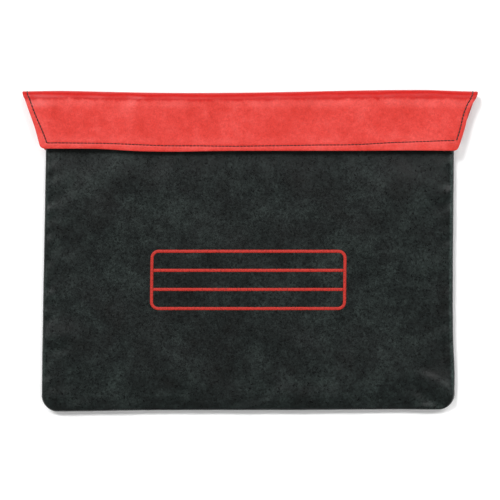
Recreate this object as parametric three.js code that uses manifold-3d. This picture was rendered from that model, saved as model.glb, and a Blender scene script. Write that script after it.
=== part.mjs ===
// A fire-resistant document pouch: a flat black bag of coated fabric, insulated and lined,
// open along one long side and closed there by a red flap that folds over the mouth.
//
// It lies on its back. X runs along the mouth, Y from the base seam up to the fold, Z up.
// The origin is under the middle of the closed pouch, on the surface that it lies on.
// Sizes are in millimetres.

import * as THREE from "three";
import { mergeVertices } from "three/addons/utils/BufferGeometryUtils.js";
import Module from "manifold-3d";

const wasm = await Module();
wasm.setup();

// ---------------------------------------------------------------- driving dimensions

// Outline
const pouchHeight = 275; // base seam to fold, closed
const baseWidth = 357; // bag, across the base corners
const mouthWidth = 353; // bag, across the mouth
const baseCornerRadius = 14;
const stripFoldWidth = 394; // red strip, along the fold
const stripEdgeWidth = 357; // red strip, along its two lower edges
const flapDrop = 51; // fold to the flap's lower edge
const yokeDrop = 51; // fold to the rear yoke's lower edge
const mouthSetback = 14; // fold to the front panel's mouth edge

// Plies
const shellThickness = 0.5;
const insulationThickness = 0.8;
const liningThickness = 0.4;
const flapInsulationThickness = 0.6;
const bindingThickness = 0.4;
const pocketDepth = 4.6; // clear space between the two linings
const plyGap = 0.25; // between pieces that lie on each other
const shellRound = 3; // radius at which the shell turns from a face into its side
const plyInset = 3; // insulation and linings, in from the bag's outline

// Seams
const seamAllowance = 8;
const seamBindingStart = 1.5; // binding's raw edges, in from the bag's outline
const seamStitchInset = 5;
const threadWidth = 0.6;
const threadHeight = 0.3;
const topstitchSideInset = 4;
const topstitchEdgeInset = 5.5;
const flapInsulationInset = 8; // stops inside the topstitching
const flapCornerRadius = 2.5;

// Closure and mouth
const mouthBindingWidth = 10;
const mouthStitchInset = 6; // from the mouth edge
const backPanelGap = 0.65; // between the back panel's top edge and the start of the fold
const tapeLength = 200;
const tapeBase = 0.3; // woven ground of the hook and loop tapes
const tapePile = 0.4;
const selvedge = 2; // plain edge of the tapes, where they are sewn
const tapeThreadHeight = 0.2;
const tapeThreadGap = 0.15;
const tapeStitchGap = 2; // between the tapes and the flap's lower topstitching
const tapeMouthGap = 1.5; // between the loop tape and the mouth binding

// Printed panel on the front
const printWidth = 170;
const printHeight = 52;
const printCentreY = -25;
const printLine = 2.6;
const printCornerRadius = 7;
const printRows = 3;
const printThickness = 0.15;

// Faceting
const arcSegments = 6;
const roundSegments = 3;
const foldSegments = 14;
const past = 20; // how far a cutting solid runs past what it cuts

// ---------------------------------------------------------------- heights of the plies

// From the surface up: the yoke's thread, the yoke, then the back panel's plies.
const yokeZ = threadHeight + plyGap;
const lapZ = yokeZ + shellThickness + plyGap; // back shell where the yoke lies over it
const backInsulationZ = lapZ + shellThickness + plyGap;
const backLiningZ = backInsulationZ + insulationThickness + plyGap;
const pocketZ = backLiningZ + liningThickness;
const frontLiningZ = pocketZ + pocketDepth;
const frontInsulationZ = frontLiningZ + liningThickness + plyGap;
const frontShellZ = frontInsulationZ + insulationThickness + plyGap;
const bagTopZ = frontShellZ + shellThickness;
const seamZ = pocketZ + pocketDepth / 2;

// On the front: the loop tape, the hook tape, then the flap's plies.
const onFrontZ = bagTopZ + plyGap;
const loopTopZ = onFrontZ + tapeBase + tapePile;
const hookZ = loopTopZ + plyGap;
const flapLiningZ = hookZ + tapePile + tapeBase + plyGap;
const flapInsulationZ = flapLiningZ + liningThickness + plyGap;
const flapOuterZ = flapInsulationZ + flapInsulationThickness + plyGap;
const flapTopZ = flapOuterZ + shellThickness;

// ---------------------------------------------------------------- places across the pouch

const topY = pouchHeight / 2;
const baseY = -pouchHeight / 2;
const flapEdgeY = topY - flapDrop;
const yokeEdgeY = topY - yokeDrop;
const mouthY = topY - mouthSetback;
const frontPanelTopY = mouthY - bindingThickness - plyGap; // plies stop inside the binding

// The fold is half a tube. The flap turns about its middle.
const foldRadius = (flapTopZ - yokeZ) / 2;
const foldZ = yokeZ + foldRadius;
const foldY = topY - foldRadius;
const stripEndY = foldY - plyGap; // where the flat parts of the strip meet the fold
const backTopY = foldY - backPanelGap;

// ---------------------------------------------------------------- solids

function toSolid(geometry) {
  const bare = geometry.index ? geometry.toNonIndexed() : geometry.clone();
  bare.deleteAttribute("normal");
  bare.deleteAttribute("uv");
  const merged = mergeVertices(bare, 1e-4);
  const mesh = new wasm.Mesh({
    numProp: 3,
    vertProperties: merged.attributes.position.array,
    triVerts: new Uint32Array(merged.index.array),
  });
  return new wasm.Manifold(mesh);
}

function toGeometry(solid) {
  const mesh = solid.getMesh();
  const geometry = new THREE.BufferGeometry();
  const positions = new THREE.BufferAttribute(mesh.vertProperties, mesh.numProp);
  geometry.setAttribute("position", positions);
  geometry.setIndex(new THREE.BufferAttribute(mesh.triVerts, 1));
  geometry.computeVertexNormals();
  return geometry;
}

// A flat shape in X and Y, standing from lowZ to highZ.
function slab(shape, lowZ, highZ) {
  const options = { depth: highZ - lowZ, bevelEnabled: false, curveSegments: arcSegments };
  const geometry = new THREE.ExtrudeGeometry(shape, options);
  geometry.translate(0, 0, lowZ);
  return toSolid(geometry);
}

// A shape drawn in Y and Z, running along X to halfLength on both sides.
function runAlongX(shape, halfLength) {
  const options = { depth: 2 * halfLength, bevelEnabled: false, curveSegments: foldSegments };
  const geometry = new THREE.ExtrudeGeometry(shape, options);
  geometry.translate(0, 0, -halfLength);
  const y = new THREE.Vector3(0, 1, 0);
  const z = new THREE.Vector3(0, 0, 1);
  const x = new THREE.Vector3(1, 0, 0);
  geometry.applyMatrix4(new THREE.Matrix4().makeBasis(y, z, x));
  return toSolid(geometry);
}

// Everything between two places in Y and two heights, wider than the pouch.
function band(lowY, highY, lowZ, highZ) {
  const width = Math.max(stripFoldWidth, baseWidth, mouthWidth) + past;
  const geometry = new THREE.BoxGeometry(width, highY - lowY, highZ - lowZ);
  geometry.translate(0, (lowY + highY) / 2, (lowZ + highZ) / 2);
  return toSolid(geometry);
}

function rectangle(width, height, centreY, radius = 0) {
  const right = width / 2 - radius;
  const up = height / 2 - radius;
  const quarter = Math.PI / 2;
  const path = new THREE.Shape();
  if (radius > 0) {
    path.absarc(right, centreY + up, radius, 0, quarter);
    path.absarc(-right, centreY + up, radius, quarter, 2 * quarter);
    path.absarc(-right, centreY - up, radius, 2 * quarter, 3 * quarter);
    path.absarc(right, centreY - up, radius, 3 * quarter, 4 * quarter);
    return path;
  }
  path.moveTo(right, centreY + up);
  path.lineTo(-right, centreY + up);
  path.lineTo(-right, centreY - up);
  path.lineTo(right, centreY - up);
  return path;
}

// ---------------------------------------------------------------- bag outline

function bagHalfWidth(y) {
  const up = (y - baseY) / (backTopY - baseY);
  return THREE.MathUtils.lerp(baseWidth, mouthWidth, up) / 2;
}

// The bag's outline drawn in by inset, square across the top at endY.
function bagOutline(inset, endY) {
  const lowY = baseY + inset;
  const radius = baseCornerRadius - inset;
  const halfLow = bagHalfWidth(lowY) - inset;
  const halfEnd = bagHalfWidth(endY) - inset;
  const shape = new THREE.Shape();
  shape.moveTo(halfEnd, endY);
  shape.lineTo(-halfEnd, endY);
  shape.absarc(radius - halfLow, lowY + radius, radius, Math.PI, 1.5 * Math.PI);
  shape.absarc(halfLow - radius, lowY + radius, radius, 1.5 * Math.PI, 2 * Math.PI);
  return shape;
}

// The whole bag as one block with softened edges, drawn in by inset on every face.
function bagBlock(inset) {
  const round = shellRound - inset;
  const lowZ = inset;
  const highZ = bagTopZ - inset;
  const options = {
    depth: highZ - lowZ - 2 * round,
    bevelThickness: round,
    bevelSize: round,
    bevelSegments: roundSegments,
    curveSegments: arcSegments,
  };
  const geometry = new THREE.ExtrudeGeometry(bagOutline(shellRound, topY + past), options);
  geometry.translate(0, 0, lowZ + round);
  return toSolid(geometry);
}

// A strip that follows both sides and the base, from one inset to a deeper one.
function alongSeam(fromInset, toInset, lowZ, highZ, endY) {
  const outer = slab(bagOutline(fromInset, endY), lowZ, highZ);
  const inner = slab(bagOutline(toInset, endY + past), lowZ - past, highZ + past);
  return outer.subtract(inner);
}

function bagPly(lowZ, thickness, endY) {
  return slab(bagOutline(plyInset, endY), lowZ, lowZ + thickness);
}

// ---------------------------------------------------------------- bag

const wall = bagBlock(0).subtract(bagBlock(shellThickness));

// Each shell is a face, its rounded side and the allowance that is turned in at the seam.
function makeFrontShell() {
  const lowZ = seamZ + plyGap / 2;
  const allowance = alongSeam(
    shellThickness / 2, seamAllowance, lowZ, lowZ + shellThickness, topY,
  );
  const keep = band(baseY - past, frontPanelTopY, lowZ, bagTopZ + past);
  return wall.add(allowance).intersect(keep);
}

// The back shell steps up by lapZ where the yoke lies over it.
function makeBackShell() {
  const highZ = seamZ - plyGap / 2;
  const stepY = yokeEdgeY - plyGap;
  const allowance = alongSeam(
    shellThickness / 2, seamAllowance, highZ - shellThickness, highZ, topY,
  );
  const block = bagBlock(0);
  const lap = block.intersect(band(stepY - shellThickness, topY, lapZ, lapZ + shellThickness));
  const riser = block.intersect(band(stepY - shellThickness, stepY, 0, lapZ + shellThickness));
  const keep = band(baseY - past, backTopY, -past, highZ);
  return wall
    .add(allowance)
    .subtract(band(stepY, topY + 2 * past, -past, lapZ))
    .add(lap)
    .add(riser)
    .intersect(keep);
}

// A tape folded over the raw edges of both seam allowances.
function makeSeamBinding() {
  const halfSlot = plyGap / 2 + shellThickness + plyGap;
  const slotInset = seamAllowance + plyGap;
  const tape = alongSeam(
    seamBindingStart,
    slotInset + bindingThickness,
    seamZ - halfSlot - bindingThickness,
    seamZ + halfSlot + bindingThickness,
    frontPanelTopY,
  );
  const slot = alongSeam(0, slotInset, seamZ - halfSlot, seamZ + halfSlot, frontPanelTopY + past);
  return tape.subtract(slot);
}

function makeSeamThread(side) {
  const bindingFace = plyGap / 2 + shellThickness + plyGap + bindingThickness + plyGap;
  const lowZ = side > 0 ? seamZ + bindingFace : seamZ - bindingFace - threadHeight;
  return alongSeam(
    seamStitchInset, seamStitchInset + threadWidth, lowZ, lowZ + threadHeight, frontPanelTopY,
  );
}

// A tape folded over the front panel's top edge: a leg on the shell, a leg level with the
// lining, and the fold between them.
function makeMouthBinding() {
  const outerZ = onFrontZ;
  const highZ = outerZ + bindingThickness;
  const legEndY = mouthY - mouthBindingWidth;
  const foldInnerY = mouthY - bindingThickness;
  const profile = new THREE.Shape();
  profile.moveTo(legEndY, highZ);
  profile.lineTo(legEndY, outerZ);
  profile.lineTo(foldInnerY, outerZ);
  profile.lineTo(foldInnerY, frontLiningZ + liningThickness);
  profile.lineTo(legEndY, frontLiningZ + liningThickness);
  profile.lineTo(legEndY, frontLiningZ);
  profile.lineTo(mouthY, frontLiningZ);
  profile.lineTo(mouthY, highZ);
  return runAlongX(profile, bagHalfWidth(mouthY) - plyInset);
}

function makeMouthThread() {
  const lowZ = onFrontZ + bindingThickness + plyGap;
  const length = 2 * (bagHalfWidth(mouthY) - plyInset - seamStitchInset);
  const row = rectangle(length, threadWidth, mouthY - mouthStitchInset);
  return slab(row, lowZ, lowZ + threadHeight);
}

// A blank contents panel: a rounded border with rows ruled across it.
function makePrint() {
  const border = rectangle(printWidth, printHeight, printCentreY, printCornerRadius);
  const innerWidth = printWidth - 2 * printLine;
  const rowHeight = (printHeight - (printRows + 1) * printLine) / printRows;
  const innerRadius = printCornerRadius - printLine;
  for (let row = 0; row < printRows; row += 1) {
    const up = (row - (printRows - 1) / 2) * (rowHeight + printLine);
    border.holes.push(rectangle(innerWidth, rowHeight, printCentreY + up, innerRadius));
  }
  return slab(border, onFrontZ, onFrontZ + printThickness);
}

// ---------------------------------------------------------------- red strip: flap, fold, yoke

function stripHalfWidth(y) {
  const up = (y - flapEdgeY) / flapDrop;
  return THREE.MathUtils.lerp(stripEdgeWidth, stripFoldWidth, up) / 2;
}

// The strip's tapered outline from its lower edge up to endY, with the two lower corners round.
function stripOutline(edgeY, sideInset, edgeInset, endY, radius) {
  const lowY = edgeY + edgeInset;
  const halfLow = stripHalfWidth(lowY) - sideInset;
  const halfCorner = stripHalfWidth(lowY + radius) - sideInset;
  const halfEnd = stripHalfWidth(endY) - sideInset;
  const shape = new THREE.Shape();
  shape.moveTo(halfEnd, endY);
  shape.lineTo(-halfEnd, endY);
  shape.lineTo(-halfCorner, lowY + radius);
  shape.quadraticCurveTo(-halfLow, lowY, radius - halfLow, lowY);
  shape.lineTo(halfLow - radius, lowY);
  shape.quadraticCurveTo(halfLow, lowY, halfCorner, lowY + radius);
  return shape;
}

function stripPly(edgeY, inset, lowZ, thickness) {
  const outline = stripOutline(edgeY, inset, inset, stripEndY, flapCornerRadius);
  return slab(outline, lowZ, lowZ + thickness);
}

// A row of thread down one side, along the lower edge and up the other side.
function stripThread(edgeY, lowZ) {
  const highZ = lowZ + threadHeight;
  const side = topstitchSideInset;
  const edge = topstitchEdgeInset;
  const outer = stripOutline(edgeY, side, edge, stripEndY, flapCornerRadius);
  const inner = stripOutline(
    edgeY, side + threadWidth, edge + threadWidth, stripEndY + past, flapCornerRadius,
  );
  return slab(outer, lowZ, highZ).subtract(slab(inner, lowZ - past, highZ + past));
}

// Half a tube about the fold's middle, trimmed to the strip's tapered ends.
function foldPly(outerRadius, thickness) {
  const quarter = Math.PI / 2;
  const profile = new THREE.Shape();
  profile.absarc(foldY, foldZ, outerRadius, -quarter, quarter);
  profile.absarc(foldY, foldZ, outerRadius - thickness, quarter, -quarter, true);
  const ends = stripOutline(flapEdgeY, 0, 0, topY, flapCornerRadius);
  return runAlongX(profile, stripFoldWidth / 2 + past).intersect(slab(ends, -past, flapTopZ + past));
}

// ---------------------------------------------------------------- hook and loop tapes

// The tapes fill the height between the flap's topstitching and the mouth binding.
const tapeLowY = flapEdgeY + topstitchEdgeInset + threadWidth + tapeStitchGap;
const tapeHighY = mouthY - mouthBindingWidth - tapeMouthGap;
const tapeWidth = tapeHighY - tapeLowY;
const tapeY = (tapeLowY + tapeHighY) / 2;

// A tape whose pile faces up (+1) or down (-1) from its woven ground.
function makeTape(lowZ, facing) {
  const groundZ = facing > 0 ? lowZ : lowZ + tapePile;
  const pileZ = facing > 0 ? lowZ + tapeBase / 2 : lowZ;
  const ground = rectangle(tapeLength, tapeWidth, tapeY);
  const pile = rectangle(tapeLength - 2 * selvedge, tapeWidth - 2 * selvedge, tapeY);
  return slab(ground, groundZ, groundZ + tapeBase).add(
    slab(pile, pileZ, pileZ + tapePile + tapeBase / 2),
  );
}

// The thread that holds a tape down, round its selvedge.
function makeTapeThread(groundFaceZ, facing) {
  const lowZ = facing > 0 ? groundFaceZ + tapeThreadGap : groundFaceZ - tapeThreadGap - tapeThreadHeight;
  const inset = (selvedge - threadWidth) / 2;
  const ring = rectangle(tapeLength - 2 * inset, tapeWidth - 2 * inset, tapeY);
  const within = inset + threadWidth;
  ring.holes.push(rectangle(tapeLength - 2 * within, tapeWidth - 2 * within, tapeY));
  return slab(ring, lowZ, lowZ + tapeThreadHeight);
}

// ---------------------------------------------------------------- materials and assembly

const finishes = {
  blackCoatedFabric: { color: 0x282b2a, roughness: 0.55, metalness: 0 },
  redCoatedFabric: { color: 0xe2483f, roughness: 0.45, metalness: 0 },
  glassFelt: { color: 0xd9d4c4, roughness: 0.95, metalness: 0 },
  coatedGlassCloth: { color: 0xb4b4b0, roughness: 0.5, metalness: 0.2 },
  blackTape: { color: 0x1b1c1c, roughness: 0.85, metalness: 0 },
  blackThread: { color: 0x1a1213, roughness: 0.7, metalness: 0 },
  redPrint: { color: 0xc4392f, roughness: 0.6, metalness: 0 },
};

function piece(name, finish, solid) {
  const mesh = new THREE.Mesh(
    toGeometry(solid), new THREE.MeshStandardMaterial({ ...finishes[finish] }),
  );
  mesh.name = name;
  return mesh;
}

const bag = new THREE.Group();
bag.add(
  piece("back_shell", "blackCoatedFabric", makeBackShell()),
  piece("front_shell", "blackCoatedFabric", makeFrontShell()),
  piece("back_insulation", "glassFelt", bagPly(backInsulationZ, insulationThickness, backTopY)),
  piece(
    "front_insulation", "glassFelt",
    bagPly(frontInsulationZ, insulationThickness, frontPanelTopY),
  ),
  piece("back_lining", "coatedGlassCloth", bagPly(backLiningZ, liningThickness, backTopY)),
  piece(
    "front_lining", "coatedGlassCloth",
    bagPly(frontLiningZ, liningThickness, mouthY - mouthBindingWidth - plyGap),
  ),
  piece("seam_binding", "blackTape", makeSeamBinding()),
  piece("seam_needle_thread", "blackThread", makeSeamThread(1)),
  piece("seam_bobbin_thread", "blackThread", makeSeamThread(-1)),
  piece("mouth_binding", "blackTape", makeMouthBinding()),
  piece("mouth_thread", "blackThread", makeMouthThread()),
  piece("front_print", "redPrint", makePrint()),
  piece("loop_tape", "blackTape", makeTape(onFrontZ, 1)),
  piece("loop_tape_thread", "blackThread", makeTapeThread(onFrontZ + tapeBase, 1)),
);

const strip = new THREE.Group();
strip.add(
  piece("rear_yoke", "redCoatedFabric", stripPly(yokeEdgeY, 0, yokeZ, shellThickness)),
  piece("rear_yoke_thread", "blackThread", stripThread(yokeEdgeY, 0)),
  piece("fold_outer", "redCoatedFabric", foldPly(foldRadius, shellThickness)),
  piece(
    "fold_lining", "redCoatedFabric",
    foldPly(flapLiningZ + liningThickness - foldZ, liningThickness),
  ),
);

const flap = new THREE.Group();
flap.add(
  piece("flap_outer", "redCoatedFabric", stripPly(flapEdgeY, 0, flapOuterZ, shellThickness)),
  piece(
    "flap_insulation", "glassFelt",
    stripPly(flapEdgeY, flapInsulationInset, flapInsulationZ, flapInsulationThickness),
  ),
  piece("flap_lining", "redCoatedFabric", stripPly(flapEdgeY, 0, flapLiningZ, liningThickness)),
  piece("flap_needle_thread", "blackThread", stripThread(flapEdgeY, flapTopZ + plyGap)),
  piece(
    "flap_bobbin_thread", "blackThread",
    stripThread(flapEdgeY, flapLiningZ - plyGap - threadHeight),
  ),
  piece("hook_tape", "blackTape", makeTape(hookZ, -1)),
  piece("hook_tape_thread", "blackThread", makeTapeThread(hookZ + tapePile, -1)),
);

const documentPouch = new THREE.Group();
documentPouch.name = "document_pouch";
documentPouch.add(bag, strip, flap);

export default documentPouch;
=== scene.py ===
import math

import bmesh
import bpy
import numpy as np
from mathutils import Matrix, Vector


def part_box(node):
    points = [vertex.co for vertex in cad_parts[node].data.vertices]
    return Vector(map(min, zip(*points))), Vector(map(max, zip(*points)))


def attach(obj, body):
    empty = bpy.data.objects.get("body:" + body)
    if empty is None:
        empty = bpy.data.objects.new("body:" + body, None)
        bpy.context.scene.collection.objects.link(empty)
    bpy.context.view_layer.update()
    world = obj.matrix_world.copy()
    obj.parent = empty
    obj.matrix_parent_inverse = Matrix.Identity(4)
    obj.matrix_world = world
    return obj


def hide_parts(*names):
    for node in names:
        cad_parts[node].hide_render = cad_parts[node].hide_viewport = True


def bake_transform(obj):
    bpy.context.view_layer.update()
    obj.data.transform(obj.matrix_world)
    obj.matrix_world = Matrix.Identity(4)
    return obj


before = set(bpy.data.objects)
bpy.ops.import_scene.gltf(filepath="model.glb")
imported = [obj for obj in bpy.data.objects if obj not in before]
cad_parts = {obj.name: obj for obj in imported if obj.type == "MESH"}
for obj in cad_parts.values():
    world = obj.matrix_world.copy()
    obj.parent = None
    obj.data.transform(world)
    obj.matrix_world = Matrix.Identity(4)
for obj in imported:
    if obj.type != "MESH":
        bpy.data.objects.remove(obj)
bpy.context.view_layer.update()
MM = 0.001

# ------------------------------------------------------------------ places taken from the frame

front_low, front_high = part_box("front_shell")
back_low, back_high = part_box("back_shell")
fold_low, fold_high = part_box("fold_outer")
flap_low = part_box("flap_outer")[0]
yoke_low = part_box("rear_yoke")[0]
binding_low, binding_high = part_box("mouth_binding")
loop_low, loop_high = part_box("loop_tape")
hook_low, hook_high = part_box("hook_tape")
print_low, print_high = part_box("front_print")

BASE_Y = back_low.y
BACK_TOP_Y = back_high.y
FRONT_TOP_Y = front_high.y
MOUTH_Y = binding_high.y
BAG_TOP = front_high.z
SEAM_Z = (front_low.z + back_high.z) / 2
HALF_BASE = back_high.x
HALF_MOUTH = binding_high.x + 3 * MM
CORNER = 14 * MM

FOLD_Z = (fold_low.z + fold_high.z) / 2
FOLD_RADIUS = (fold_high.z - fold_low.z) / 2
FOLD_TOP_Y = fold_high.y
FOLD_Y = FOLD_TOP_Y - FOLD_RADIUS
HALF_FOLD = fold_high.x
FLAP_EDGE_Y = flap_low.y
YOKE_EDGE_Y = yoke_low.y
HALF_EDGE = HALF_BASE
YOKE_RUN = FOLD_Y - YOKE_EDGE_Y
FOLD_RUN = math.pi * FOLD_RADIUS
FLAP_RUN = FOLD_Y - FLAP_EDGE_Y
STRIP_RUN = YOKE_RUN + FOLD_RUN + FLAP_RUN
STRIP_SLOPE = (HALF_FOLD - HALF_EDGE) / (FOLD_TOP_Y - FLAP_EDGE_Y)

SHELL = 0.5 * MM
FELT = 0.8 * MM
LINING = 0.4 * MM
PLY_GAP = 0.25 * MM
TAPE = 0.4 * MM
SEAM_THREAD = 0.5 * MM
SEAM_PITCH = 3.2 * MM


# ------------------------------------------------------------------ small mathematics

def smooth(t):
    t = np.clip(t, 0, 1)
    return t * t * (3 - 2 * t)


def bump(t, width):
    return np.exp(-((t / width) ** 2))


class Waves:
    """A soft random surface: a few sine waves in random directions, about 1 high."""

    def __init__(self, seed, shortest, longest, count=9):
        dice = np.random.default_rng(seed)
        angle = dice.uniform(0, 2 * math.pi, count)
        turn = 2 * math.pi / dice.uniform(shortest, longest, count)
        self.kx = turn * np.cos(angle)
        self.ky = turn * np.sin(angle)
        self.phase = dice.uniform(0, 2 * math.pi, count)
        self.share = 1.4 / math.sqrt(count)

    def __call__(self, x, y):
        total = 0.0
        for kx, ky, phase in zip(self.kx, self.ky, self.phase):
            total = total + np.sin(kx * x + ky * y + phase)
        return self.share * total


def edge_steps(fine, step, length):
    """Distances from an edge: the fine ones, then even steps up to length."""
    start = fine[-1]
    count = max(2, round((length - start) / step))
    return np.concatenate([fine, start + (length - start) * np.arange(1, count + 1) / count])


def across_row(half, fine, step, full):
    """Places from -half to half: the fine ones in from both ends, and between them as many even
    steps as a row of half width full would have."""
    last = fine[-1]
    inner = (edge_steps(fine, step, full)[len(fine):-1] - last) / (full - last)
    left = np.concatenate([-half + fine, (-half + last) * (1 - inner)])
    return np.concatenate([left, [0.0], -left[::-1]])


# ------------------------------------------------------------------ meshes

def make_piece(name, points, faces, material, body=None, place=None, wear_and_highlight=None):
    """A closed mesh, its normals made to point out. place is the flat cloth's own coordinates, and
    wear_and_highlight says, from 0 to 1, how much of the material's rim colour each point gets: a
    painted highlight along a turned edge, partly rubbed wear."""
    mesh = bpy.data.meshes.new(name)
    mesh.from_pydata(np.asarray(points).reshape(-1, 3).tolist(), [], faces)
    work = bmesh.new()
    work.from_mesh(mesh)
    bmesh.ops.recalc_face_normals(work, faces=work.faces)
    work.to_mesh(mesh)
    work.free()
    mesh.polygons.foreach_set("use_smooth", [True] * len(mesh.polygons))
    if place is not None:
        cloth = mesh.attributes.new("cloth_place", "FLOAT_VECTOR", "POINT")
        cloth.data.foreach_set("vector", np.asarray(place, np.float32).ravel())
    # Painted highlight along a turned edge, partly rubbed wear, kept for the material's rim colour.
    if wear_and_highlight is not None:
        rubbed = mesh.attributes.new("wear_and_highlight", "FLOAT", "POINT")
        rubbed.data.foreach_set("value", np.asarray(wear_and_highlight, np.float32).ravel())
    mesh.materials.append(material)
    piece = bpy.data.objects.new(name, mesh)
    bpy.context.scene.collection.objects.link(piece)
    if body:
        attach(piece, body)
    return piece


def sheet_faces(rows, columns, first=0, closed=False):
    """Faces of a sheet with an upper and a lower grid of points, and the rim between them. A closed
    sheet is a ring: its last column joins its first."""
    index = np.arange(rows * columns).reshape(rows, columns) + first
    if closed:
        index = np.concatenate([index, index[:, :1]], axis=1)
    below = rows * columns
    corners = [index[:-1, :-1], index[:-1, 1:], index[1:, 1:], index[1:, :-1]]
    upper = np.stack([c.ravel() for c in corners], axis=1)
    lower = upper[:, ::-1] + below
    if closed:
        ring = np.concatenate([index[0, :-1], index[-1, :0:-1]])
        onward = np.concatenate([index[0, 1:], index[-1, -2::-1]])
    else:
        ring = np.concatenate([index[0, :-1], index[:-1, -1], index[-1, :0:-1], index[:0:-1, 0]])
        onward = np.roll(ring, -1)
    rim = np.stack([ring, ring + below, onward + below, onward], axis=1)
    return np.concatenate([upper, lower, rim]).tolist()


def make_sheet(name, upper, lower, material, body=None, place=None, wear_and_highlight=None):
    rows, columns = upper.shape[:2]
    points = np.concatenate([upper.reshape(-1, 3), lower.reshape(-1, 3)])
    if place is not None:
        place = np.concatenate([place.reshape(-1, 3)] * 2)
    if wear_and_highlight is not None:
        wear_and_highlight = np.concatenate([wear_and_highlight.ravel()] * 2)
    return make_piece(name, points, sheet_faces(rows, columns), material, body, place, wear_and_highlight)


def make_stitches(name, rows, thread, material, body=None):
    """Lockstitches: each is a short bent tube from one needle hole to the next.

    rows holds (holes, normals) pairs, both as arrays of points."""
    sides = 8
    along = np.array([0.0, 0.10, 0.28, 0.5, 0.72, 0.90, 1.0])
    rise = np.array([-0.35, 0.12, 0.36, 0.42, 0.36, 0.12, -0.35]) * thread
    radius = np.array([0.30, 0.46, 0.5, 0.5, 0.5, 0.46, 0.30]) * thread
    angle = 2 * math.pi * np.arange(sides) / sides
    points, faces, places = [], [], []
    first = 0
    for holes, normals in rows:
        travelled = 0.0
        for start, end, normal in zip(holes[:-1], holes[1:], (normals[:-1] + normals[1:]) / 2):
            reach = end - start
            length = np.linalg.norm(reach)
            tangent = reach / length
            normal = normal - tangent * np.dot(normal, tangent)
            normal /= np.linalg.norm(normal)
            side = np.cross(tangent, normal)
            centres = start + np.outer(0.02 + 0.96 * along, reach) + np.outer(rise, normal)
            ring = np.outer(np.cos(angle), normal) + np.outer(np.sin(angle), side)
            tube = centres[:, None, :] + radius[:, None, None] * ring[None]
            points.append(tube.reshape(-1, 3))
            spot = np.zeros((len(along), sides, 3))
            spot[..., 0] = (travelled + along * length)[:, None]
            spot[..., 1] = (angle * thread / 2)[None]
            places.append(spot.reshape(-1, 3))
            index = np.arange(len(along) * sides).reshape(len(along), sides) + first
            a, b = index[:-1], index[1:]
            turned = np.roll(np.arange(sides), -1)
            quads = np.stack([a, a[:, turned], b[:, turned], b], axis=2).reshape(-1, 4)
            faces += quads.tolist() + [index[0, ::-1].tolist(), index[-1].tolist()]
            first += len(along) * sides
            travelled += length
    return make_piece(
        name, np.concatenate(points), faces, material, body, np.concatenate(places)
    )


def level_row(path, pitch, z, facing=1):
    """Needle holes along a path that lies level at height z, and their up or down directions."""
    holes = even_holes(path, pitch)
    holes = np.column_stack([holes, np.full(len(holes), z)])
    return holes, np.tile([0, 0, float(facing)], (len(holes), 1))


def even_holes(path, pitch):
    """Points at even distances along a path of points."""
    steps = np.linalg.norm(np.diff(path, axis=0), axis=1)
    run = np.concatenate([[0], np.cumsum(steps)])
    count = max(1, round(run[-1] / pitch))
    stops = np.linspace(0, run[-1], count + 1)
    return np.stack([np.interp(stops, run, path[:, k]) for k in range(path.shape[1])], axis=1)


# ------------------------------------------------------------------ materials

def linear(code):
    """An sRGB hex colour as linear red, green, blue and alpha."""
    values = [int(code[i:i + 2], 16) / 255 for i in (0, 2, 4)]
    return [v / 12.92 if v <= 0.04045 else ((v + 0.055) / 1.055) ** 2.4 for v in values] + [1.0]


def add(tree, kind, links=None, **settings):
    """Adds a node. links gives its inputs by name or number, as sockets or as plain values."""
    node = tree.nodes.new(kind)
    for key, value in settings.items():
        setattr(node, key, value)
    for key, value in (links or {}).items():
        if isinstance(value, bpy.types.NodeSocket):
            tree.links.new(value, node.inputs[key])
        else:
            node.inputs[key].default_value = value
    return node


def start_material(name, roughness=0.5, ior=1.5, metallic=0.0):
    material = bpy.data.materials.new(name)
    material.use_nodes = True
    tree = material.node_tree
    shader = tree.nodes["Principled BSDF"]
    shader.inputs["Roughness"].default_value = roughness
    shader.inputs["IOR"].default_value = ior
    shader.inputs["Metallic"].default_value = metallic
    return material, tree, shader


def place_of(tree, from_cloth):
    """Where a pattern is looked up: on the flat cloth where the piece bends, else on the piece."""
    if from_cloth:
        return add(tree, "ShaderNodeAttribute", attribute_name="cloth_place").outputs["Vector"]
    return add(tree, "ShaderNodeTexCoord").outputs["Object"]


def shades(tree, factor, stops):
    """A colour ramp through (place, hex colour) stops."""
    ramp = add(tree, "ShaderNodeValToRGB", {"Fac": factor})
    band = ramp.color_ramp
    while len(band.elements) < len(stops):
        band.elements.new(0.5)
    for element, (at, code) in zip(band.elements, stops):
        element.position = at
        element.color = linear(code)
    return ramp.outputs["Color"]


def between(tree, factor, low, high):
    """A value that goes from low to high as factor goes from 0.3 to 0.7."""
    node = add(
        tree, "ShaderNodeMapRange",
        {"Value": factor, "From Min": 0.3, "From Max": 0.7, "To Min": low, "To Max": high},
    )
    return node.outputs["Result"]


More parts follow.
